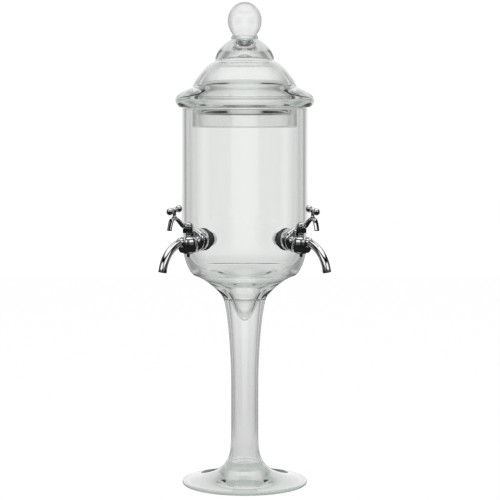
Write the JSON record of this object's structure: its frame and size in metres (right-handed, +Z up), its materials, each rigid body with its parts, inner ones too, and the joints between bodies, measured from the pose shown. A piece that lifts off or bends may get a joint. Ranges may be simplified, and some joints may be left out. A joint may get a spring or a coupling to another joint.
{
  "type": "absinthe fountain",
  "caption": "Clear glass water fountain for absinthe: round foot, hollow stem, straight bowl, domed lid with a ball knob, and chromed plug taps with curved spouts.",
  "frame": {"origin": "centre of the foot's flat underside, on the axis of the vessel", "axes": "+Z up along the vessel's axis; -Y is the front, midway between the taps; +X is to the right seen from the front"},
  "size_m": [0.1642, 0.1695, 0.4826],
  "materials": {
    "clear_glass": "clear blown glass, fire-polished, with a very faint grey-green tint",
    "chrome_plate": "polished chrome plate on cast and turned brass",
    "black_rubber": "matt moulded rubber"
  },
  "bodies": {
    "vessel": {"foot": "clear_glass", "stem": "clear_glass", "bowl": "clear_glass", "bowl_side": "clear_glass", "left_tap_body": "chrome_plate", "left_spout": "chrome_plate", "left_collar": "chrome_plate", "left_outer_gasket": "black_rubber", "left_inner_gasket": "black_rubber", "left_inner_washer": "chrome_plate", "left_lock_nut": "chrome_plate", "right_tap_body": "chrome_plate", "right_spout": "chrome_plate", "right_collar": "chrome_plate", "right_outer_gasket": "black_rubber", "right_inner_gasket": "black_rubber", "right_inner_washer": "chrome_plate", "right_lock_nut": "chrome_plate"},
    "lid": {"lid": "clear_glass", "lid_knob": "clear_glass"},
    "left_handle": {"left_plug": "chrome_plate", "left_lever": "chrome_plate", "left_crossbar": "chrome_plate", "left_cap_nut": "chrome_plate", "left_bottom_washer": "chrome_plate", "left_bottom_screw": "chrome_plate"},
    "right_handle": {"right_plug": "chrome_plate", "right_lever": "chrome_plate", "right_crossbar": "chrome_plate", "right_cap_nut": "chrome_plate", "right_bottom_washer": "chrome_plate", "right_bottom_screw": "chrome_plate"}
  },
  "joints": [
    {"name": "lid_lift", "type": "slide", "parent": "vessel", "child": "lid", "axis": [0, 0, 1], "range_m": [0, 0.12]},
    {"name": "left_handle_turn", "type": "hinge", "parent": "vessel", "child": "left_handle", "pos_m": [-0.05418, -0.06691, 0.2499], "axis": [0, 0, 1], "range_deg": [-90, 90]},
    {"name": "right_handle_turn", "type": "hinge", "parent": "vessel", "child": "right_handle", "pos_m": [0.05418, -0.06691, 0.2499], "axis": [0, 0, 1], "range_deg": [-82, 98]}
  ]
}
